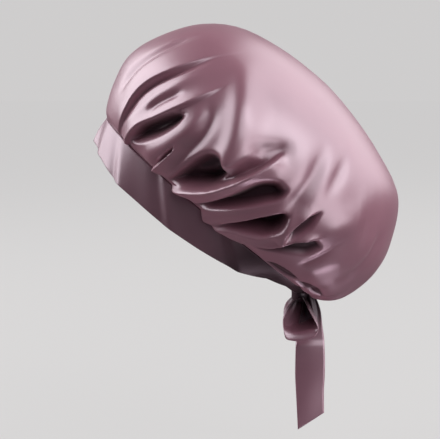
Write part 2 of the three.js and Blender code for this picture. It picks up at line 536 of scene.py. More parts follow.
@dataclass(frozen=True)
class Station:
    """The unfolded crown at one height, in millimetres.

    Attributes:
        front_reach: How far in front of the middle it reaches.
        front_rise: How high over the middle it is there.
        side_reach: How far to each side it reaches.
        side_rise: How high it is there.
        back_reach: How far behind the middle it reaches.
        back_rise: How high it is there.
    """

    front_reach: float
    front_rise: float
    side_reach: float
    side_rise: float
    back_reach: float
    back_rise: float


class Flank(Enum):
    """The side of a lip that its hollow lies on, as seen from outside and along its route."""

    LEFT = 1
    RIGHT = -1


SWELL_REACH = 3.2  # half widths past which a swell has no effect
SWELL_EDGE = 2.0  # a swell's crest is round
SWELL_ROUNDING = 0.4  # in square millimetres
LIP_REACH = 2.5  # half widths past which a lip's open side has no effect
LIP_CURVE = 1.5  # how the open side falls: 1 straight, 2 like a bell
LEAN_AHEAD = 0.8  # how far on its open side a lip leans most, in millimetres
LEAN_WIDTH = 3.2  # how far to each side of that it leans
LEAN_FADE = 0.1  # how much sooner than its crest the lean fades, as a share


@dataclass(frozen=True)
class Swell:
    """A soft ridge or hollow in the crown's cloth.

    Attributes:
        route: Its middle line, as (degrees from the forehead, share of the way up).
        height: How far it stands out, or sinks in if negative, in millimetres.
        left: Its half width on the left of its route, in millimetres.
        right: Its half width on the right.
        fade_in: The share of its length over which it begins.
        fade_out: The share of its length over which it ends.
    """

    route: Route
    height: float
    left: float
    right: float
    fade_in: float = 0.3
    fade_out: float = 0.3

    @property
    def reach(self) -> float:
        """How far from its route it has an effect, in millimetres."""
        return SWELL_REACH * max(self.left, self.right)

    def rise(self, across: np.ndarray, share: np.ndarray) -> np.ndarray:
        """Find how far it moves points outwards, in millimetres.

        Args:
            across: Each point's distance from the route, positive on its left.
            share: How far along the route each point is.

        Returns:
            Millimetres for each point.
        """
        width = np.where(across > 0, self.left, self.right)
        strength = self.height * fade(share, self.fade_in, self.fade_out)
        return strength * ridge(across, width, SWELL_EDGE, SWELL_ROUNDING)

    def lean(self, across: np.ndarray, share: np.ndarray) -> np.ndarray:
        """Find how far it moves points sideways: a soft fold moves none."""
        return np.zeros(across.shape)


@dataclass(frozen=True)
class Lip:
    """A sharp crest that hangs over a hollow beside it.

    Attributes:
        route: Its crest line, as (degrees from the forehead, share of the way up).
        flank: The side that the hollow lies on.
        crest: How far the crest stands out, in millimetres.
        slope: The half width of its open side.
        depth: How deep the hollow is.
        width: How far the hollow takes to come back up.
        drop: How far the crest takes to fall into the hollow.
        overhang: How far the crest leans over the hollow.
        fade_in: The share of its length over which the crest begins.
        fade_out: The share of its length over which the crest ends.
        pit: Where along it the hollow begins and ends.
        pit_fade: The share of its length that the hollow takes to begin and to end.
    """

    route: Route
    flank: Flank
    crest: float
    slope: float
    depth: float
    width: float
    drop: float = 2.6
    overhang: float = 1.6
    fade_in: float = 0.1
    fade_out: float = 0.3
    pit: tuple[float, float] = (0.0, 1.0)
    pit_fade: float = 0.15

    @property
    def reach(self) -> float:
        """How far from its route it has an effect, in millimetres."""
        return max(LIP_REACH * self.slope, self.drop + self.width + 1)

    def rise(self, across: np.ndarray, share: np.ndarray) -> np.ndarray:
        """Find how far it moves points outwards.

        Args:
            across: Each point's distance from the route, positive on its left.
            share: How far along the route each point is.

        Returns:
            Millimetres for each point.
        """
        away = across * self.flank.value
        begin, end = self.pit
        pit = smoothstep(share, begin - self.pit_fade, begin + self.pit_fade)
        pit = pit * (1 - smoothstep(share, end - self.pit_fade, end + self.pit_fade))
        crest = self.crest * fade(share, self.fade_in, self.fade_out)
        open_side = crest * np.exp(-((np.maximum(-away, 0) / self.slope) ** LIP_CURVE))
        fall = smoothstep(away, 0, self.drop)
        back_up = 1 - smoothstep(away, self.drop, self.drop + self.width)
        return np.where(away < 0, open_side, crest * (1 - fall)) - self.depth * pit * fall * back_up

    def lean(self, across: np.ndarray, share: np.ndarray) -> np.ndarray:
        """Find how far it moves points sideways.

        Args:
            across: Each point's distance from the route, positive on its left.
            share: How far along the route each point is.

        Returns:
            Millimetres for each point, positive to the route's left.
        """
        away = across * self.flank.value
        near = np.exp(-(((away + LEAN_AHEAD) / LEAN_WIDTH) ** 2))
        strength = fade(share, self.fade_in + LEAN_FADE, self.fade_out + LEAN_FADE)
        return self.flank.value * self.overhang * near * strength


@dataclass(frozen=True)
class Pocket:
    """A hollow between two lines that meet at both its ends.

    Attributes:
        top: Its upper line, with the hollow on the right.
        base: Its lower line, with the hollow on the left.
        depth: How deep it is, in millimetres.
        top_drop: How far it takes to reach its depth from the upper line.
        base_drop: How far it takes from the lower line.
        gloom: How much shade is painted on its floor, from 0 to 1.
    """

    top: Route
    base: Route
    depth: float
    top_drop: float
    base_drop: float
    gloom: float = 0.8


Fold = Swell | Lip | Pocket


@dataclass(frozen=True)
class Trace:
    """Where points lie beside a line on the crown.

    Attributes:
        near: Which of the crown's points are close enough to matter.
        across: Each near point's distance from the line in millimetres, positive on its left.
        share: How far along the line each near point is.
        out: The crown's outward normals there.
        aside: The directions to the line's left there.
    """

    near: np.ndarray
    across: np.ndarray
    share: np.ndarray
    out: np.ndarray
    aside: np.ndarray


STATIONS = (
    Station(113, 14.5, 78, 14.5, 110, 14.5),
    Station(119, 21, 91, 20, 121, 12.5),
    Station(127, 40, 107, 36, 137, 28),
    Station(132, 66, 119, 66, 144, 60),
    Station(124, 93, 115, 95, 138, 88),
    Station(104, 124, 96, 123, 117, 122),
    Station(76, 144, 66, 142, 78, 140),
    Station(38, 153, 33, 152, 36, 151),
    Station(0, 155, 0, 155, 0, 155),
)

# A pocket's gloom is shade painted on its floor.
NEAR_FOLDS: tuple[Fold, ...] = (
    # Forehead: a broad swell whose edge falls into a long hollow.
    Swell(((26, 0.3), (27.5, 0.4), (28, 0.5), (28, 0.6)), height=-2.6, left=5, right=5.5),
    Lip(
        ((35, 0.08), (36, 0.2), (37, 0.3), (40, 0.38), (43.5, 0.46), (47, 0.55), (50, 0.63)),
        Flank.RIGHT, crest=3.0, slope=14, depth=4.8, width=8, pit=(0.24, 0.72), pit_fade=0.22,
        fade_in=0.3, fade_out=0.6,
    ),
    Swell(((40, 0.18), (45, 0.28), (50, 0.4), (54, 0.52)), height=1.4, left=4.5, right=5),
    # Temple: a thin lip over the deepest hollow in front of the ear.
    Swell(((49, 0.31), (52, 0.37), (55, 0.43)), height=-2.2, left=3.2, right=3.2),
    Lip(
        ((43, 0.03), (44, 0.15), (47.5, 0.24), (53, 0.31), (58, 0.38), (61.5, 0.455), (64, 0.53)),
        Flank.RIGHT, crest=4.4, slope=5.5, depth=0, width=8, fade_out=0.4,
    ),
    Pocket(
        top=((44, 0.08), (46, 0.2), (48.5, 0.26), (53, 0.31), (57.5, 0.36), (61.5, 0.385)),
        base=((44, 0.07), (50, 0.12), (56, 0.2), (61, 0.28), (63.5, 0.335), (63.5, 0.385)),
        depth=10, top_drop=5.5, base_drop=10, gloom=0.95,
    ),
    Swell(
        ((57, 0.11), (61, 0.2), (65, 0.29), (67.5, 0.36), (66.5, 0.42)),
        height=3.4, left=9, right=7,
    ),
    # In front of the ear: a short lip beside a small round hollow.
    Lip(
        ((62, -0.02), (64, 0.09), (66, 0.18), (67.5, 0.25), (67, 0.29)),
        Flank.LEFT, crest=4.4, slope=6, depth=6.0, width=4.5, drop=2.0, pit=(0.42, 0.85),
        pit_fade=0.12, fade_in=0.02, fade_out=0.25,
    ),
    Swell(
        ((69, 0.16), (71, 0.28), (72, 0.36), (70, 0.43), (65, 0.46)),
        height=-3.4, left=6, right=6,
    ),
    Swell(
        ((68, 0.58), (74, 0.53), (79.5, 0.47), (83, 0.41), (84.5, 0.35), (85, 0.3)),
        height=8.5, left=15, right=11, fade_in=0.9, fade_out=0.2,
    ),
    # Over the ear: the long thin lip under the largest dark hollow.
    Pocket(
        top=((70, 0.1), (71.5, 0.21), (73.5, 0.29), (77, 0.345), (82, 0.365), (87, 0.335)),
        base=((71, 0.03), (78, 0.125), (83, 0.195), (86, 0.25), (88, 0.31)),
        depth=13, top_drop=11, base_drop=4, gloom=0.92,
    ),
    Lip(
        ((73, -0.02), (79, 0.12), (86, 0.232), (91, 0.315), (94.5, 0.39), (96.5, 0.45),
         (97.5, 0.485)),
        Flank.LEFT, crest=5.8, slope=8, depth=7.5, width=14, drop=3.4, overhang=0.8,
        pit=(0.25, 0.9), pit_fade=0.18, fade_in=0.14, fade_out=0.12,
    ),
    Swell(
        ((86, 0.235), (90, 0.3), (93.5, 0.37), (95.5, 0.43)),
        height=1.5, left=2.5, right=4, fade_in=0.4, fade_out=0.4,
    ),
    Swell(
        ((89, 0.44), (92.5, 0.475), (96, 0.505), (99.5, 0.52)),
        height=-3.4, left=6, right=6, fade_in=0.5, fade_out=0.4,
    ),
    # Behind the ear: two wide dark hollows with a lighter slope between them.
    Pocket(
        top=((84, 0.06), (88, 0.19), (92, 0.29), (96, 0.375), (101, 0.42), (105, 0.42)),
        base=((85, -0.01), (92, 0.135), (97, 0.235), (102, 0.31), (105.5, 0.36), (106.5, 0.41)),
        depth=14, top_drop=11, base_drop=5, gloom=0.95,
    ),
    Swell(
        ((90, 0.0), (96, 0.12), (101, 0.22), (106, 0.295), (109, 0.35)),
        height=2.6, left=4, right=4, fade_in=0.1,
    ),
    Pocket(
        top=((97, 0.06), (99, 0.18), (102.5, 0.265), (106, 0.315), (109, 0.345), (112, 0.355)),
        base=((97, 0.05), (101, 0.105), (106, 0.165), (111, 0.23), (113, 0.29), (112, 0.35)),
        depth=19, top_drop=10, base_drop=3, gloom=0.97,
    ),
    Lip(
        ((97, 0.05), (101, 0.11), (106, 0.17), (111, 0.235), (113.5, 0.295), (112, 0.36)),
        Flank.LEFT, crest=3.0, slope=4, depth=0, width=5, drop=1.8, fade_in=0.2, fade_out=0.25,
    ),
    # Along the seam behind the ear, then out over the nape's hollow.
    Lip(
        ((89, -0.01), (96, 0.05), (103.5, 0.09), (109.5, 0.16), (115, 0.24), (119.5, 0.31),
         (125, 0.36)),
        Flank.RIGHT, crest=4.8, slope=4.0, depth=0, width=8, drop=3.4, overhang=0.8, fade_in=0.08,
        fade_out=0.12,
    ),
    Pocket(
        top=((103, 0.08), (108, 0.14), (112, 0.2), (115, 0.24), (118, 0.3), (121, 0.33),
             (124, 0.35), (128, 0.345)),
        base=((103, 0.05), (109, 0.09), (115, 0.15), (119, 0.21), (123, 0.255), (127, 0.29),
              (129, 0.335)),
        depth=3.8, top_drop=3.2, base_drop=6.0, gloom=0.97,
    ),
    Lip(
        ((116, 0.27), (114.5, 0.32), (115, 0.37), (117.5, 0.42)),
        Flank.RIGHT, crest=4.2, slope=5, depth=0, width=9, drop=2.0, fade_out=0.35,
    ),
    Pocket(
        top=((116.5, 0.285), (115.5, 0.325), (116, 0.375), (118.5, 0.425)),
        base=((116.5, 0.28), (119, 0.31), (120.5, 0.36), (120, 0.415)),
        depth=5.5, top_drop=2.4, base_drop=5,
    ),
    Swell(
        ((109, 0.58), (110, 0.49), (110, 0.41), (111, 0.34)),
        height=-3.4, left=8, right=7, fade_in=0.7,
    ),
    Swell(
        ((119, 0.62), (118.5, 0.54), (117.5, 0.46)),
        height=-2.6, left=5.5, right=6.5, fade_in=0.7, fade_out=0.6,
    ),
    # The back of the puff.
    Swell(
        ((124, 0.36), (128, 0.44), (133, 0.5), (137, 0.6)),
        height=2.5, left=12, right=12, fade_in=0.5, fade_out=0.6,
    ),
    Swell(((129, 0.26), (130.5, 0.3), (132, 0.35), (134, 0.42)), height=-1.6, left=2.2, right=3.2),
    Swell(((134, 0.24), (137, 0.31), (142, 0.37)), height=1.6, left=8, right=12),
    Swell(((150, 0.3), (152, 0.4), (152, 0.52)), height=-2.2, left=6, right=7),
    Swell(((163, 0.16), (166, 0.3), (166, 0.45)), height=1.4, left=9, right=9),
    Swell(((172, 0.0), (175, 0.15), (174, 0.32)), height=-4.0, left=6, right=6),
    # Small hollows where the nape's seam gapes, over its thin edge.
    Pocket(
        top=((122, 0.1), (124, 0.15), (127, 0.17), (131, 0.18), (136, 0.18)),
        base=((122, 0.09), (127, 0.1), (132, 0.12), (136, 0.15), (137, 0.17)),
        depth=1.6, top_drop=1.5, base_drop=1.5, gloom=0.9,
    ),
    Pocket(
        top=((138, 0.16), (141, 0.2), (145, 0.21), (150, 0.21), (156, 0.2)),
        base=((138, 0.15), (143, 0.15), (148, 0.15), (153, 0.16), (157, 0.18)),
        depth=1.6, top_drop=1.5, base_drop=1.5, gloom=0.9,
    ),
    Swell(
        ((108, 0.09), (115, 0.085), (122, 0.085), (130, 0.1), (137, 0.14), (145, 0.145),
         (154, 0.15)),
        height=1.0, left=1.1, right=1.1, fade_in=0.2, fade_out=0.2,
    ),
    # Short gathers up from the nape.
    Swell(
        ((146, -0.02), (148, 0.08), (149, 0.17), (149, 0.26)),
        height=-1.8, left=4, right=5, fade_in=0.1, fade_out=0.8,
    ),
    Swell(
        ((160, -0.02), (161, 0.08), (162, 0.18), (163, 0.3)),
        height=-3.0, left=4, right=5, fade_in=0.1, fade_out=0.9,
    ),
    Swell(
        ((167, -0.02), (167, 0.1), (168, 0.22), (168, 0.38)),
        height=1.2, left=4, right=5, fade_in=0.1, fade_out=0.9,
    ),
    Swell(
        ((178, -0.02), (178, 0.09), (177, 0.18), (177, 0.26)),
        height=1.6, left=4, right=5, fade_in=0.1, fade_out=0.8,
    ),
    # Faint lines of strain down the back.
    Swell(((131, 0.56), (135, 0.48), (139, 0.38)), height=0.35, left=1.6, right=1.6),
    Swell(((135, 0.58), (139, 0.49), (143, 0.38)), height=-0.35, left=1.4, right=1.4),
    Swell(((139, 0.57), (143, 0.48), (146, 0.36)), height=0.3, left=1.8, right=1.4),
    Swell(((144, 0.6), (148, 0.5), (151, 0.4)), height=0.3, left=1.6, right=1.6),
)

POCKET_REACH = 30  # how far from a pocket's lines its points are looked for, in millimetres
LINE_STEPS = 8  # points laid out for each of a line's knots
RUN_ON = 1e3  # spans by which a line's two ends are taken to run straight on


@dataclass
class Crown:
    """The puffed crown, gathered onto the band.

    Attributes:
        finish: Its satin.
        stations: Its unfolded form from the seam to the top.
        folds: The strokes on the left half, mirrored onto the right half a little changed.
        near_columns: Points round its left half.
        far_columns: Points round its right half.
        column_parts: Shares of a half's points, for the angles below.
        column_angles: Degrees from the forehead there: points lie closest at the folds.
        low_rows: Points from the seam to where the folds end.
        high_rows: Points from there to the top.
        row_parts: Shares of the low rows, for the heights below.
        row_heights: Shares of the way up there, the last where the folds end.
        wall: The cloth's thickness, in metres.
        cut: The diameter of the flat disc that it is made from, in metres; not used.
        tuck: The seam allowance behind the band, as (per cent inwards, millimetres down).
        seam_ease: Shares of the way up where the folds leave the seam and where they are full.
        puckers: How many small puckers the seam has.
        pucker: How high they are, in millimetres.
        pucker_fade: The share of the way up over which they die out.
        pucker_sway: How unevenly they are spaced.
        pucker_waves: How many times round the spacing changes.
        gloom: How much shade is painted on a soft hollow for each millimetre past the first.
        deepest_gloom: How much shade is painted there at most.
        far_strength: How deep the right half's folds are beside the left half's.
        far_length: How long they are beside the left half's.
        far_turn: How far they are turned at most, in degrees.
        far_waves: How fast that turn changes round the half.
        far_drop: How much further the right half's lips take to fall, in millimetres.
    """

    finish: Satin
    stations: tuple[Station, ...] = STATIONS
    folds: tuple[Fold, ...] = NEAR_FOLDS
    near_columns: int = 290
    far_columns: int = 190
    column_parts: tuple[float, ...] = (0, 0.13, 0.82, 1)
    column_angles: tuple[float, ...] = (0, 35, 132, 180)
    low_rows: int = 86
    high_rows: int = 11
    row_parts: tuple[float, ...] = (0, 0.04, 0.8, 1)
    row_heights: tuple[float, ...] = (0, 0.03, 0.45, 0.64)
    wall: float = 0.9 * MM
    cut: float = 0.5
    tuck: tuple[tuple[float, float], ...] = ((2.6, 4.0), (2.4, 1.5), (1.3, -0.1), (0.4, -0.5))
    seam_ease: tuple[float, float] = (-0.004, 0.03)
    puckers: int = 71
    pucker: float = 0.5
    pucker_fade: float = 0.03
    pucker_sway: float = 3
    pucker_waves: int = 6
    gloom: float = 0.06
    deepest_gloom: float = 0.5
    far_strength: float = 0.9
    far_length: float = 0.94
    far_turn: float = 4
    far_waves: float = 3
    far_drop: float = 1.4

    def form(self, angle: np.ndarray, share: np.ndarray) -> np.ndarray:
        """Find points of the unfolded crown.

        Args:
            angle: Radians from the forehead towards the wearer's left.
            share: The share of the way from the seam to the top.

        Returns:
            Points in millimetres in the opening's axes.
        """
        rows = [astuple(station) for station in self.stations]
        # One more row, down the other side, lets the curve pass level over the top.
        over = [value if k % 2 else -value for k, value in enumerate(rows[-2])]
        spans = len(rows)
        size = spline(np.array([*rows, over]), np.minimum(share, 1) * (spans - 1) / spans)
        front_reach, front_rise, side_reach, side_rise, back_reach, back_rise = (
            size[..., k] for k in range(size.shape[-1])
        )
        ahead, aside = np.cos(angle), np.sin(angle)
        reach = np.where(ahead > 0, front_reach, back_reach)
        rise = np.where(ahead > 0, front_rise, back_rise)
        up = side_rise * aside**2 + rise * ahead**2
        return np.stack([side_reach * aside, -reach * ahead, up], axis=-1)

    def normals(self, points: np.ndarray) -> np.ndarray:
        """Find the outward unit normals of the crown's points.

        Args:
            points: A grid whose columns close on themselves and whose last row is one point.

        Returns:
            One normal for each point.
        """
        round_it = np.roll(points, -1, axis=1) - np.roll(points, 1, axis=1)
        normal = np.cross(round_it, np.gradient(points, axis=0))
        length = np.linalg.norm(normal, axis=-1, keepdims=True)
        normal = normal / np.maximum(length, EPSILON)
        normal[-1] = (0, 0, 1)
        return normal

    def lay(self, route: Route, side: Side) -> np.ndarray:
        """Lay a line out on the unfolded crown.

        Args:
            route: The line, as (degrees from the forehead, share of the way up).
            side: The half that it lies on: on the right it runs a little differently.

        Returns:
            Points along it.
        """
        knots = np.array(route, dtype=float)
        if side is Side.RIGHT:
            knots[:, 0] += self.far_turn * np.sin(np.radians(self.far_waves * knots[:, 0]))
            knots[:, 1] *= self.far_length
        knots = spline(knots, np.linspace(0, 1, LINE_STEPS * len(knots)))
        return self.form(side.value * np.radians(knots[:, 0]), knots[:, 1])

    def trace(
        self, route: Route, side: Side, reach: float, points: np.ndarray, normal: np.ndarray
    ) -> Trace:
        """Find where the crown's points lie beside a line on it.

        Args:
            route: The line, as (degrees from the forehead, share of the way up).
            side: The half that it lies on.
            reach: How far from the line matters, in millimetres.
            points: The unfolded crown's points.
            normal: Their normals.

        Returns:
            The near points and their places beside the line.
        """
        line = self.lay(route, side)
        steps = np.diff(line, axis=0)
        lengths = np.concatenate([[0], np.cumsum(np.linalg.norm(steps, axis=1))])
        low, high = line.min(axis=0) - reach, line.max(axis=0) + reach
        near = np.all((points > low) & (points < high), axis=-1)
        spots, out = points[near], normal[near]
        best = np.full(len(spots), np.inf)
        along = np.zeros(len(spots))
        sign = np.ones(len(spots))
        aside = np.zeros(spots.shape)
        for k, (start, step) in enumerate(zip(line, steps)):
            size = np.linalg.norm(step)
            lowest = -RUN_ON if k == 0 else 0
            highest = RUN_ON if k == len(steps) - 1 else 1
            part = np.clip((spots - start) @ step / size**2, lowest, highest)
            gap = spots - start - part[:, None] * step
            distance = np.linalg.norm(gap, axis=1)
            better = distance < best
            best = np.where(better, distance, best)
            along = np.where(better, lengths[k] + part * size, along)
            left = np.cross(out, step / size) * side.value
            sign = np.where(better, np.sign(np.einsum("ij,ij->i", left, gap)), sign)
            aside = np.where(better[:, None], left, aside)
        return Trace(near, best * sign, along / lengths[-1], out, aside)

    def stroke(
        self, fold: Fold, side: Side, points: np.ndarray, normal: np.ndarray
    ) -> tuple[np.ndarray, np.ndarray]:
        """Work out how far one fold moves each point, and how much it hides it from the light.

        Args:
            fold: The fold.
            side: The half that it lies on: on the right a lip is gentler.
            points: The unfolded crown's points.
            normal: Their normals.

        Returns:
            Millimetres for each point in the opening's axes, and the shade it paints, from 0 to 1.
        """
        if isinstance(fold, Pocket):
            under, over = np.zeros(points.shape[:-1]), np.zeros(points.shape[:-1])
            top = self.trace(fold.top, side, POCKET_REACH, points, normal)
            base = self.trace(fold.base, side, POCKET_REACH, points, normal)
            under[top.near] = smoothstep(-top.across, 0, fold.top_drop)
            over[base.near] = smoothstep(base.across, 0, fold.base_drop)
            sunk = under * over
            # Painted shade on the pocket's floor.
            return -fold.depth * sunk[..., None] * normal, fold.gloom * sunk
        if side is Side.RIGHT and isinstance(fold, Lip):
            fold = replace(fold, drop=fold.drop + self.far_drop, overhang=0.0)
        moved, gloom = np.zeros(points.shape), np.zeros(points.shape[:-1])
        line = self.trace(fold.route, side, fold.reach, points, normal)
        rise, lean = fold.rise(line.across, line.share), fold.lean(line.across, line.share)
        moved[line.near] = rise[:, None] * line.out + lean[:, None] * line.aside
        # Painted shade where the fold sinks more than a millimetre.
        gloom[line.near] = np.clip(-self.gloom * rise - self.gloom, 0, self.deepest_gloom)
        return moved, gloom

    def grid(self) -> tuple[np.ndarray, np.ndarray]:
        """Space the crown's points out, closest together where its folds are.

        Returns:
            Each point's radians from the forehead, and its share of the way up.
        """
        low = np.linspace(0, 1, self.low_rows, endpoint=False)
        low = np.interp(low, self.row_parts, self.row_heights)
        high = np.linspace(self.row_heights[-1], 1, self.high_rows + 1)
        near, far = (
            np.radians(np.interp(part, self.column_parts, self.column_angles))
            for part in (
                np.linspace(0, 1, self.near_columns, endpoint=False),
                np.linspace(1, 0, self.far_columns, endpoint=False),
            )
        )
        columns, rows = np.concatenate([near, 2 * math.pi - far]), np.concatenate([low, high])
        angle, share = np.meshgrid(columns, rows)
        return angle, share

    def points(self) -> tuple[np.ndarray, np.ndarray]:
        """Lay out the folded crown.

        Returns:
            Its points in metres in the world's axes, and each one's painted shade from 0 to 1.
        """
        angle, share = self.grid()
        plain = self.form(angle, share)
        normal = self.normals(plain)
        # lit is how much of each point is left free of the folds' painted shade.
        moved, lit = np.zeros(plain.shape), np.ones(plain.shape[:-1])
        for fold in self.folds:
            for side, strength in ((Side.LEFT, 1.0), (Side.RIGHT, self.far_strength)):
                shift, gloom = self.stroke(fold, side, plain, normal)
                moved += strength * shift
                lit *= 1 - gloom
        swayed = angle * self.puckers + self.pucker_sway * np.sin(angle * self.pucker_waves)
        puckers = self.pucker * np.cos(swayed) * np.exp(-share / self.pucker_fade)
        free = smoothstep(share, *self.seam_ease)
        folded = plain + (moved + puckers[..., None] * normal) * free[..., None]
        tuck = [folded[0] * (1 - inwards / 100) - [0, 0, down] for inwards, down in self.tuck]
        # The painted shade; the seam allowance's rows get none.
        shade = np.concatenate([np.zeros((len(tuck), lit.shape[1])), 1 - lit])
        return tilt(np.concatenate([tuck, folded]) * MM), shade

    def build(self) -> bpy.types.Object:
        """Make the crown, dress it and hide the part that it stands for.

        Returns:
            The finished piece.
        """
        points, shade = self.points()
        crown = cloth_object("crown_cloth", points, wrap=True, tip=True)
        paint_shade(crown, np.append(shade[:-1].ravel(), 0.0))
        thicken(crown, self.wall, -1)
        dress(crown, self.finish, "crown")
        return crown


# ------------------------------------------------------------------ the band


@dataclass(frozen=True)
class HemPoint:
    """The band's lower edge at one angle.

    Attributes:
        angle: Degrees from the forehead.
        rise: Its height over the opening's middle, in millimetres.
        reach: How far out it is beside the seam.
    """

    angle: float
    rise: float
    reach: float


@dataclass(frozen=True)
class Crease:
    """A soft crease across the band.

    Attributes:
        top: Its angle from the forehead at the seam, in degrees.
        bottom: Its angle at the hem.
        height_top: How far it stands out at the seam, in millimetres, or in if negative.
        height_bottom: The same at the hem.
        ahead: Its half width towards the forehead, in degrees.
        behind: Its half width towards the nape.
        edge: 1 for a sharp crest, 2 for a round one.
    """

    top: float
    bottom: float
    height_top: float
    height_bottom: float
    ahead: float
    behind: float
    edge: float


HEM = (
    HemPoint(0, -8.5, 0.92),
    HemPoint(28, -11.5, 0.93),
    HemPoint(49, -15.4, 0.95),
    HemPoint(80, -14.6, 0.97),
    HemPoint(98, -11.6, 0.95),
    HemPoint(121, -6.8, 0.91),
    HemPoint(139, 2.5, 0.91),
    HemPoint(153, 6.5, 0.95),
    HemPoint(180, 4.0, 0.97),
)

CREASES = (
    Crease(-4, -1, 0.3, 3.8, 5, 5, 2.0),
    Crease(7, 11, 0.2, -1.6, 4, 4, 2.0),
    Crease(17, 22, 0.2, 1.2, 4, 5, 1.6),
    Crease(32, 44, -0.6, -2.2, 4, 3, 1.5),
    Crease(38, 52, 1.0, 3.0, 3.5, 9, 1.3),
    Crease(53, 63, -0.6, -1.0, 6, 8, 2.0),
    Crease(64, 79, -1.4, -1.8, 5, 2.4, 1.5),
    Crease(67, 83, 0.8, 2.2, 2.2, 9, 1.2),
    Crease(99, 116, -0.8, -1.2, 6, 3, 1.6),
    Crease(103, 121, 0.8, 1.6, 2.6, 9, 1.3),
    Crease(133, 140, 0.6, -0.6, 5, 5, 2.0),
)


@dataclass
class Band:
    """The flat band round the opening, from one side of the knot to the other.

    Attributes:
        finish: Its satin.
        hem: Its lower edge on the left half, mirrored onto the right half.
        creases: Its soft creases.
        crease_rounding: How much a sharp crease is rounded off, in square degrees.
        far_turn: How far the right half's creases are turned, in degrees.
        far_strength: How high they are beside the left half's.
        columns: Spans round it.
        rows: Spans down each of its faces.
        hem_steps: Where, round the hem's half turn, it has points.
        wall: How far its inner face is from its outer one, in millimetres.
        bulge: How far its middle stands out, in millimetres.
        seam_rise: The height of its upper edge, in millimetres.
        nape_gap: How far from the nape each end stops, in degrees.
        shades: Its painted shade, as (how dark, and degrees where it begins and is full).
        flat: Its height and length as cut, in metres; not used.
    """

    finish: Satin
    hem: tuple[HemPoint, ...] = HEM
    creases: tuple[Crease, ...] = CREASES
    crease_rounding: float = 0.5
    far_turn: float = 5.0
    far_strength: float = 0.8
    columns: int = 420
    rows: int = 16
    hem_steps: tuple[float, ...] = (0.25, 0.5, 0.75)
    wall: float = 1.6
    bulge: float = 0.8
    seam_rise: float = 14.2
    nape_gap: float = 3.0
    shades: tuple[tuple[float, float, float], ...] = ((0.25, 45, 70), (0.65, 95, 120))
    flat: tuple[float, float] = (0.032, 0.58)

    def turns(self) -> np.ndarray:
        """List its columns' degrees from the forehead, signed."""
        return np.linspace(-180 + self.nape_gap, 180 - self.nape_gap, self.columns + 1)

    def relief(self, degrees: np.ndarray, down: np.ndarray) -> np.ndarray:
        """Add up the creases.

        Args:
            degrees: Each point's degrees from the forehead, signed.
            down: Its share of the way from the seam to the hem.

        Returns:
            How far each point stands out, in millimetres.
        """
        halves = ((Side.LEFT, 0.0, 1.0), (Side.RIGHT, self.far_turn, self.far_strength))
        total = np.zeros(degrees.shape)
        for crease in self.creases:
            height = crease.height_top + (crease.height_bottom - crease.height_top) * down
            for side, turn, strength in halves:
                middle = crease.top + (crease.bottom - crease.top) * down + turn
                away = side.value * degrees - middle
                width = np.where(away < 0, crease.ahead, crease.behind)
                profile = ridge(away, width, crease.edge, self.crease_rounding)
                total += strength * height * profile
        return total

    def face(self, inset: float, down: np.ndarray) -> np.ndarray:
        """Lay out rows of points on one of the band's faces.

        Args:
            inset: How far in from its outer face, in millimetres.
            down: Each row's share of the way from the seam to the hem.

        Returns:
            Points in millimetres in the opening's axes.
        """
        down, turn = np.meshgrid(down, self.turns(), indexing="ij")
        angle, size = np.radians(turn), np.abs(turn)
        angles, rises, reaches = np.array([astuple(point) for point in self.hem]).T
        rise, lean = np.interp(size, angles, rises), np.interp(size, angles, reaches)
        seam = STATIONS[0]
        reach = np.where(np.cos(angle) > 0, seam.front_reach, seam.back_reach)
        place = np.stack([seam.side_reach * np.sin(angle), -reach * np.cos(angle)], axis=-1)
        out = place / np.linalg.norm(place, axis=-1, keepdims=True)
        bulge = self.bulge * np.sin(np.pi * np.clip(down, 0, 1))
        place = place * (1 + (lean - 1) * down)[..., None]
        place = place + out * (self.relief(turn, down) + bulge - inset)[..., None]
        up = self.seam_rise + (rise - self.seam_rise) * down
        return np.concatenate([place, up[..., None]], axis=-1)

    def points(self) -> np.ndarray:
        """Lay out the folded strip.

        Returns:
            Rows up its inner face and round the hem, and then up its outer one, in metres.
        """
        down = np.linspace(0, 1, self.rows + 1)
        half = self.wall / 2
        hem = []
        for step in self.hem_steps:
            swing = math.pi * step
            edge = self.face(half - half * math.cos(swing), down[-1:])
            edge[..., 2] -= half * math.sin(swing)
            hem.append(edge)
        strip = np.concatenate([self.face(0, down), *hem, self.face(self.wall, down)[::-1]])
        return tilt(strip * MM)[::-1]

    def build(self) -> bpy.types.Object:
        """Make the band, dress it and hide the part that it stands for.

        Returns:
            The finished piece.
        """
        points, size = self.points(), np.abs(self.turns())
        band = cloth_object("band_cloth", points)
        # Painted shade: some on the sides, more by the nape.
        shade = sum(dark * smoothstep(size, begin, full) for dark, begin, full in self.shades)
        paint_shade(band, np.tile(shade, len(points)))
        close(band, Gap.EDGES)
        dress(band, self.finish, "band")
        return band


# ------------------------------------------------------------------ the bow


KNOT = (0.0, 85.5, -66.0)  # the knot's middle, in millimetres
RIBBON_WALL = 0.5 * MM


@dataclass(frozen=True)
class LoopPoint:
    """One station round a loop, in millimetres from the knot.

    Attributes:
        near_back: How far behind the knot's middle the loop's crest is.
        near_up: How far over it the crest is.
        far_back: The same for the loop's inner edge, next to the other loop.
        far_up: The same for the inner edge.
        spread: How far the crest stands off the inner edge, sideways.
        hang: How far the outer edge hangs under the crest.
    """

    near_back: float
    near_up: float
    far_back: float
    far_up: float
    spread: float
    hang: float = 0.0


@dataclass(frozen=True)
class TailPoint:
    """One station down a hanging end, in millimetres from the knot.

    Attributes:
        back: How far behind the knot's middle the ribbon's middle line is.
        up: How far over the knot's middle it is.
        width: The ribbon's width there.
        aside: How far from the bow's middle plane it hangs.
    """

    back: float
    up: float
    width: float
    aside: float


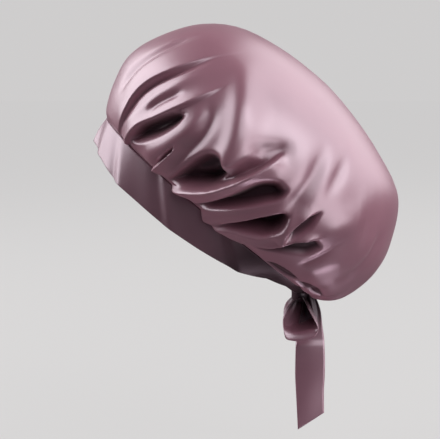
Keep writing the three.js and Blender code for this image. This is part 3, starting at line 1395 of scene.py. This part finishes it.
LOOP_LINE = (
    LoopPoint(0.5, -3.0, 0.0, -3.0, 6),
    LoopPoint(-5.6, -4.6, 1.5, -6.0, 12),
    LoopPoint(-10.6, -9.6, 2.4, -12.0, 17),
    LoopPoint(-13.0, -16.0, 1.4, -17.5, 20),
    LoopPoint(-13.2, -21.6, 0.6, -22.5, 18, 3.4),
    LoopPoint(-11.2, -25.6, 0.0, -24.5, 14.8, 8.6),
    LoopPoint(-5.6, -28.4, 1.0, -25.0, 14, 8.2),
    LoopPoint(1.8, -28.6, 3.0, -24.0, 14, 8.2),
    LoopPoint(8.4, -27.0, 7.4, -21.8, 14, 8.2),
    LoopPoint(13.4, -26.0, 11.2, -20.0, 15, 7.0),
    LoopPoint(16.0, -24.0, 14.0, -19.4, 18, 3.0),
    LoopPoint(13.4, -19.5, 13.6, -18.0, 20),
    LoopPoint(9.4, -13.0, 10.4, -12.6, 17),
    LoopPoint(6.0, -6.8, 7.0, -6.8, 12),
    LoopPoint(3.4, -2.2, 3.8, -2.6, 7),
)

TAIL_LINE = (
    TailPoint(5.4, 2.4, 10, 1.0),
    TailPoint(8.0, -5.0, 13.5, 1.2),
    TailPoint(8.8, -14.8, 18.7, 1.6),
    TailPoint(9.0, -27.5, 21.7, 2.0),
    TailPoint(9.3, -38.0, 24.0, 1.6),
    TailPoint(9.4, -45.0, 24.6, 3.9),
    TailPoint(9.5, -56.0, 25.2, 4.3),
    TailPoint(9.45, -70.0, 25.2, 3.7),
    TailPoint(9.6, -86.0, 23.6, 3.2),
    TailPoint(10.5, -109.6, 22.4, 3.0),
)


def from_knot(points: np.ndarray) -> np.ndarray:
    """Move points from millimetres round the knot to metres in the world."""
    return (points + np.array(KNOT)) * MM


def ribbon_object(
    part: str, side: Side, points: np.ndarray, shade: np.ndarray
) -> bpy.types.Object:
    """Make a strip of ribbon on one side of the bow.

    Args:
        part: What the strip is.
        side: The side that it hangs on.
        points: Its points as on the left, in millimetres from the knot, as rows by columns.
        shade: The shade painted on each, from 0 to 1.

    Returns:
        The strip, with its thickness.
    """
    strip = cloth_object(
        f"{part}_ribbon_{side.name.lower()}", from_knot(points * (side.value, 1, 1))
    )
    # Painted shade for the satin to darken by.
    paint_shade(strip, shade.ravel())
    if side is Side.LEFT:
        strip.data.flip_normals()
    thicken(strip, RIBBON_WALL, 0)
    return strip


@dataclass
class Knot:
    """The bow's knot: a rounded wrap of ribbon with soft folds over it.

    Attributes:
        finish: The ribbon's satin.
        half_width: How far it reaches to each side, in millimetres.
        half_depth: How far it reaches in front and behind.
        half_height: How far it reaches up and down.
        fullness: 1 for a ball's profile, less for a squarer one.
        folds: How tightly its folds follow one another.
        fold_height: How far they stand out, as a share.
        fold_slant: How far they run up and down round it.
        sag: How far its top and bottom sag at its sides, as a share.
        rows: Spans from its foot to its top.
        columns: Points round it.
        shade: How much shade is painted on it, from 0 to 1.
    """

    finish: Satin
    half_width: float = 8.0
    half_depth: float = 7.0
    half_height: float = 8.0
    fullness: float = 0.8
    folds: float = 5
    fold_height: float = 0.06
    fold_slant: float = 1.5
    sag: float = 0.05
    rows: int = 28
    columns: int = 48
    shade: float = 0.9

    def build(self) -> bpy.types.Object:
        """Make the knot, dress it and hide the part that it stands for.

        Returns:
            The finished piece.
        """
        rise = np.linspace(-math.pi / 2, math.pi / 2, self.rows + 1)[:, None]
        turn = np.linspace(0, 2 * math.pi, self.columns, endpoint=False)
        fat = np.cos(rise) ** self.fullness
        wrinkle = np.sin(self.folds * rise + self.fold_slant * np.sin(turn))
        folds = 1 + self.fold_height * wrinkle * np.cos(rise)
        points = np.stack([
            self.half_width * fat * folds * np.cos(turn),
            self.half_depth * fat * folds * np.sin(turn),
            self.half_height * np.sin(rise) * (1 + self.sag * np.cos(2 * turn)),
        ], axis=-1)
        knot = cloth_object("knot_ribbon", from_knot(points), wrap=True)
        close(knot, Gap.POLES)
        # Painted shade over the whole knot.
        paint_shade(knot, np.full(len(knot.data.vertices), self.shade))
        dress(knot, self.finish, "knot")
        return knot


@dataclass
class Loop:
    """One drooping loop, whose outer part turns down over its side like a flap.

    Attributes:
        finish: The ribbon's satin.
        side: The side that it hangs on.
        line: Its stations, from the knot's front round to its back.
        columns: Spans round it.
        rows: Spans across the ribbon.
        inset: How far from the bow's middle plane its inner edge is, in millimetres.
        flap_share: The share of the ribbon that turns down for each millimetre that it hangs.
        flap_spread: How far the flap stands out beside how far it hangs.
        cup: 1 for a flat inner part, more for a cupped one.
        pinch: How far over the knot's middle it begins to be pinched and where it is full.
        gathers: Half waves across the pinched ribbon.
        gather_height: How high they are, in millimetres.
        pinch_shade: How much shade is painted on the pinched part.
        inside: The same as pinch for the shade painted on the loop's inside.
        inside_shade: How much shade is painted on the inside at its inner edge.
        outer_light: How much of that is gone at the outer edge.
        taper: The flat ribbon's area beside a full strip's; not used.
    """

    finish: Satin
    side: Side
    line: tuple[LoopPoint, ...] = LOOP_LINE
    columns: int = 120
    rows: int = 16
    inset: float = 2.6
    flap_share: float = 0.05
    flap_spread: float = 0.8
    cup: float = 1.4
    pinch: tuple[float, float] = (-17, -4)
    gathers: int = 5
    gather_height: float = 0.8
    pinch_shade: float = 0.95
    inside: tuple[float, float] = (-27, -8)
    inside_shade: float = 0.75
    outer_light: float = 0.8
    taper: float = 0.92

    def points(self) -> tuple[np.ndarray, np.ndarray]:
        """Lay out the loop as it hangs on the left.

        Returns:
            Its points in millimetres from the knot, and each one's painted shade from 0 to 1.
        """
        knots = np.array([astuple(point) for point in self.line])
        stations = spline(knots, np.linspace(0, 1, self.columns + 1)).T
        near_back, near_up, far_back, far_up, spread, hang = stations
        across = np.linspace(0, 1, self.rows + 1)[:, None]
        pinch = smoothstep(near_up, *self.pinch)
        hang = np.maximum(hang, 0)
        crest = 1 - self.flap_share * hang
        inner = np.minimum(across / crest, 1)
        swing = np.maximum(across - crest, 0) / np.maximum(1 - crest, 1e-6) * math.pi / 2
        gather = self.gather_height * pinch * np.sin(across * self.gathers * math.pi)
        back = far_back + (near_back - far_back) * inner + gather
        up = far_up + (near_up - far_up) * inner**self.cup - hang * (1 - np.cos(swing))
        left = self.inset + spread * inner + self.flap_spread * hang * np.sin(swing)
        # Painted shade: dark on the loop's inside and on its pinched part.
        inside = self.inside_shade * (1 - self.outer_light * across**2)
        inside = inside * smoothstep(near_up, *self.inside)
        return np.stack([left, back, up], axis=-1), np.maximum(inside, self.pinch_shade * pinch)

    def build(self) -> bpy.types.Object:
        """Make the loop, dress it and hide the part that it stands for.

        Returns:
            The finished piece.
        """
        points, shade = self.points()
        loop = ribbon_object("loop", self.side, points, shade)
        dress(loop, self.finish, f"loop_{self.side.name.lower()}")
        return loop


@dataclass
class Tail:
    """One hanging end, gathered at the knot and cut on a slant.

    Attributes:
        finish: The ribbon's satin.
        side: The side that it hangs on.
        line: Its stations, from the knot down.
        columns: Spans down it.
        rows: Spans across the ribbon.
        slant: How much further one corner of its cut hangs, in millimetres.
        slant_start: How near the cut the slant begins: more is nearer.
        pinch: How far under the knot's middle the gathers begin to fade and are gone.
        gathers: Half waves across the gathered ribbon.
        gather_height: How high they are, in millimetres.
        bulge: How far the ribbon's middle stands out.
        wave: How far the free end waves sideways.
        waves: How fast it waves down its length.
        wave_slant: How much later the wave comes at its back edge.
        twist: How far it turns by its cut, in radians.
        twist_reach: Shares of its length where it begins to turn and where it has turned.
        twist_aside: How far the turn carries it sideways, in millimetres for each radian.
        shade: How much shade is painted on it at the knot.
        shade_reach: How far over the knot's middle the painted shade begins and is full.
    """

    finish: Satin
    side: Side
    twist: float
    line: tuple[TailPoint, ...] = TAIL_LINE
    columns: int = 110
    rows: int = 16
    slant: float = 14.6
    slant_start: float = 10
    pinch: tuple[float, float] = (4, 36)
    gathers: int = 4
    gather_height: float = 1.3
    bulge: float = 0.7
    wave: float = 0.5
    waves: float = 15
    wave_slant: float = 3
    twist_reach: tuple[float, float] = (0.1, 0.9)
    twist_aside: float = 8
    shade: float = 0.95
    shade_reach: tuple[float, float] = (-36, -14)

    def points(self) -> tuple[np.ndarray, np.ndarray]:
        """Lay out the end as it hangs on the left.

        Returns:
            Its points in millimetres from the knot, and each one's shade from 0 to 1.
        """
        share = np.linspace(0, 1, self.columns + 1)
        knots = np.array([astuple(point) for point in self.line])
        middle_back, middle_up, width, aside = spline(knots, share).T
        across = np.linspace(0, 1, self.rows + 1)[:, None]
        pinch = 1 - smoothstep(-middle_up, *self.pinch)
        turn = self.twist * smoothstep(share, *self.twist_reach)
        back = middle_back + (across - 0.5) * width * np.cos(turn)
        up = middle_up - self.slant * share**self.slant_start * (0.5 - across)
        folds = self.gather_height * pinch * np.sin(across * self.gathers * math.pi)
        folds = folds + self.bulge * np.sin(across * math.pi)
        wave = self.wave * np.sin(share * self.waves + self.wave_slant * across) * share
        turned = (0.5 - across) * width * np.sin(turn) + self.twist_aside * turn
        left = aside + folds + wave + turned
        # Painted shade near the knot.
        shade = np.tile(self.shade * smoothstep(middle_up, *self.shade_reach), self.rows + 1)
        return np.stack([left, back, up], axis=-1), shade

    def build(self) -> bpy.types.Object:
        """Make the end, dress it and hide the part that it stands for.

        Returns:
            The finished piece.
        """
        points, shade = self.points()
        tail = ribbon_object("tail", self.side, points, shade)
        dress(tail, self.finish, f"tail_{self.side.name.lower()}")
        return tail


@dataclass
class Bow:
    """The ribbon bow at the nape: a knot, two drooping loops and two hanging ends.

    Attributes:
        finish: The ribbon's satin.
        left_twist: How far the left end turns by its cut, in radians.
        right_twist: The same for the right end.
    """

    finish: Satin
    left_twist: float = 0.05
    right_twist: float = 0.4

    def build(self) -> list[bpy.types.Object]:
        """Make the whole bow.

        Returns:
            Its five pieces.
        """
        made = [Knot(self.finish).build()]
        for side, twist in ((Side.LEFT, self.left_twist), (Side.RIGHT, self.right_twist)):
            made += [Loop(self.finish, side).build(), Tail(self.finish, side, twist).build()]
        return made


# ------------------------------------------------------------------ the studio


@dataclass(frozen=True)
class SoftBox:
    """One soft light that faces the bonnet.

    Attributes:
        name: The light's name.
        azimuth: Where it stands round the bonnet, in degrees, as the camera's is.
        elevation: How high over the bonnet it stands, in degrees.
        width: Its width, in metres.
        height: Its height, in metres.
        power: Its power in watts.
        tone: Its colour.
        glossy: Whether it shows in the satin's gloss.
        diffuse: Whether it lights the satin's colour.
        distance: How far off it stands, in metres.
        aim: The middle of the bonnet, which it faces.
    """

    name: str
    azimuth: float
    elevation: float
    width: float
    height: float
    power: float
    tone: Colour = (1.0, 1.0, 1.0)
    glossy: bool = True
    diffuse: bool = True
    distance: float = 1.7
    aim: tuple[float, float, float] = (0, 0.04, 0.03)

    def build(self) -> None:
        """Add the light."""
        back = towards(self.azimuth, self.elevation)
        data = bpy.data.lights.new(self.name, "AREA")
        data.shape = "ELLIPSE"
        data.size, data.size_y = self.width, self.height
        data.energy = self.power
        data.color = self.tone
        made = bpy.data.objects.new(self.name, data)
        bpy.context.scene.collection.objects.link(made)
        made.visible_glossy = self.glossy
        made.visible_diffuse = self.diffuse
        made.location = Vector(self.aim) + back * self.distance
        made.rotation_euler = (-back).to_track_quat("-Z", "Y").to_euler()


SOFT_BOXES = (
    SoftBox("back_softbox", 195, 36, 4.3, 2.3, 50),
    SoftBox("front_softbox", -15, 30, 2.4, 2.1, 40),
    SoftBox("side_softbox", 126, 32, 1.8, 1.6, 14),
    SoftBox("low_softbox", 143, -11, 1.3, 1.3, 10, diffuse=False),
    SoftBox("back_fill", 235, -40, 2.6, 2.0, 3, (1.0, 0.86, 0.92), glossy=False),
    SoftBox("front_fill", 20, -60, 2.0, 2.0, 9, (1.0, 0.95, 0.94), glossy=False),
    SoftBox("under_fill", 180, -60, 2.0, 2.0, 8, (1.0, 0.9, 0.96), glossy=False),
    SoftBox("under_glint", 188, -71, 0.7, 0.4, 3, (1.0, 0.8, 0.9)),
)


@dataclass
class Studio:
    """A pale floor, soft lights and the camera.

    Attributes:
        azimuth: Where the camera stands round the bonnet, in degrees from the front.
        elevation: How high over the level it stands, in degrees.
        width: How much of the scene its picture spans, in metres.
        lens: Its focal length, in millimetres.
        sensor: Its sensor's width, in millimetres.
        sight: How far it sees, in metres.
        right_shift: How far to the right of the origin it aims, in metres.
        up_shift: How far over the origin it aims.
        floor_drop: How far under the lowest ribbon end the floor lies.
        floor_radius: How far the floor reaches.
        floor_points: Points round it.
        floor_tone: Its colour under the lights.
        floor_roughness: How dull it is.
        floor_gloss: How strong its gloss is.
        floor_glow: How much of the backdrop's tone it gives off.
        backdrop: The pale tone behind the bonnet.
        ambient_tone: The colour that the surroundings light the bonnet with.
        ambient: How strongly they do.
        boxes: Its lights.
    """

    azimuth: float = 93.0
    elevation: float = 6.0
    width: float = 374 * MM
    lens: float = 135.0
    sensor: float = 36.0
    sight: float = 50.0
    right_shift: float = 17.85 * MM
    up_shift: float = -2.98 * MM
    floor_drop: float = 12 * MM
    floor_radius: float = 9.0
    floor_points: int = 96
    floor_tone: Colour = (0.06, 0.059, 0.058)
    floor_roughness: float = 0.9
    floor_gloss: float = 0.1
    floor_glow: float = 0.98
    backdrop: Colour = (0.62, 0.61, 0.61)
    ambient_tone: Colour = (0.9, 0.9, 1.0)
    ambient: float = 0.05
    boxes: tuple[SoftBox, ...] = SOFT_BOXES

    def camera(self) -> None:
        """Place the camera at the bonnet's side, a little over the level."""
        turn = math.radians(self.azimuth)
        back = towards(self.azimuth, self.elevation)
        right = Vector((math.cos(turn), math.sin(turn), 0))
        data = bpy.data.cameras.new("camera")
        data.lens = self.lens
        data.sensor_width = self.sensor
        data.clip_end = self.sight
        made = bpy.data.objects.new("camera", data)
        bpy.context.scene.collection.objects.link(made)
        aim = right * self.right_shift + back.cross(right) * self.up_shift
        made.location = aim + back * (self.width * self.lens / self.sensor)
        made.rotation_euler = (-back).to_track_quat("-Z", "Y").to_euler()
        bpy.context.scene.camera = made

    def floor(self) -> None:
        """Lay the pale floor, which the camera sees and the bonnet's light doesn't."""
        bpy.ops.object.select_all(action="DESELECT")
        bpy.ops.mesh.primitive_circle_add(
            vertices=self.floor_points,
            radius=self.floor_radius,
            fill_type="NGON",
            location=(0, 0, CAD_BOX[0][2] - self.floor_drop),
        )
        floor = bpy.context.active_object
        floor.name = "floor"
        material = bpy.data.materials.new("floor")
        material.use_nodes = True
        shader = material.node_tree.nodes["Principled BSDF"]
        for name, value in {
            "Base Color": (*self.floor_tone, 1),
            "Roughness": self.floor_roughness,
            "Specular IOR Level": self.floor_gloss,
            "Emission Color": (*self.backdrop, 1),
            "Emission Strength": self.floor_glow,
        }.items():
            shader.inputs[name].default_value = value
        floor.data.materials.append(material)
        floor.visible_diffuse = False
        floor.visible_glossy = False
        floor.visible_shadow = False
        floor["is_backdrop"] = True

    def world(self) -> None:
        """Make the pale surroundings, which light the bonnet less than they show."""
        world = bpy.data.worlds.new("studio")
        world.use_nodes = True
        tree = world.node_tree
        shown = tree.nodes["Background"]
        shown.inputs["Color"].default_value = (*self.backdrop, 1)
        glow = {"Color": (*self.ambient_tone, 1), "Strength": self.ambient}
        lit = add_node(tree, "ShaderNodeBackground", glow)
        rays = add_node(tree, "ShaderNodeLightPath")
        mix = add_node(tree, "ShaderNodeMixShader", feeds={"Fac": rays.outputs["Is Camera Ray"]})
        tree.links.new(lit.outputs["Background"], mix.inputs[1])
        tree.links.new(shown.outputs["Background"], mix.inputs[2])
        tree.links.new(mix.outputs["Shader"], tree.nodes["World Output"].inputs["Surface"])
        bpy.context.scene.world = world

    def build(self) -> None:
        """Make the whole studio."""
        self.camera()
        self.floor()
        for box in self.boxes:
            box.build()
        self.world()
        bpy.context.scene.view_settings.view_transform = "Standard"


def main() -> None:
    """Build the bonnet and its studio."""
    logging.basicConfig(level=logging.INFO, format="%(name)s: %(message)s")
    finishes = Finishes()
    Studio().build()
    made = [Crown(finishes.crown).build(), Band(finishes.band).build()]
    made += Bow(finishes.ribbon).build()
    for piece in made:
        log.info("%s: %d faces", piece.name, len(piece.data.polygons))
    boxes = {"cad": CAD_BOX, "visual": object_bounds()}
    boxes = {name: [list(corner) for corner in box] for name, box in boxes.items()}


if __name__ == "__main__":
    main()
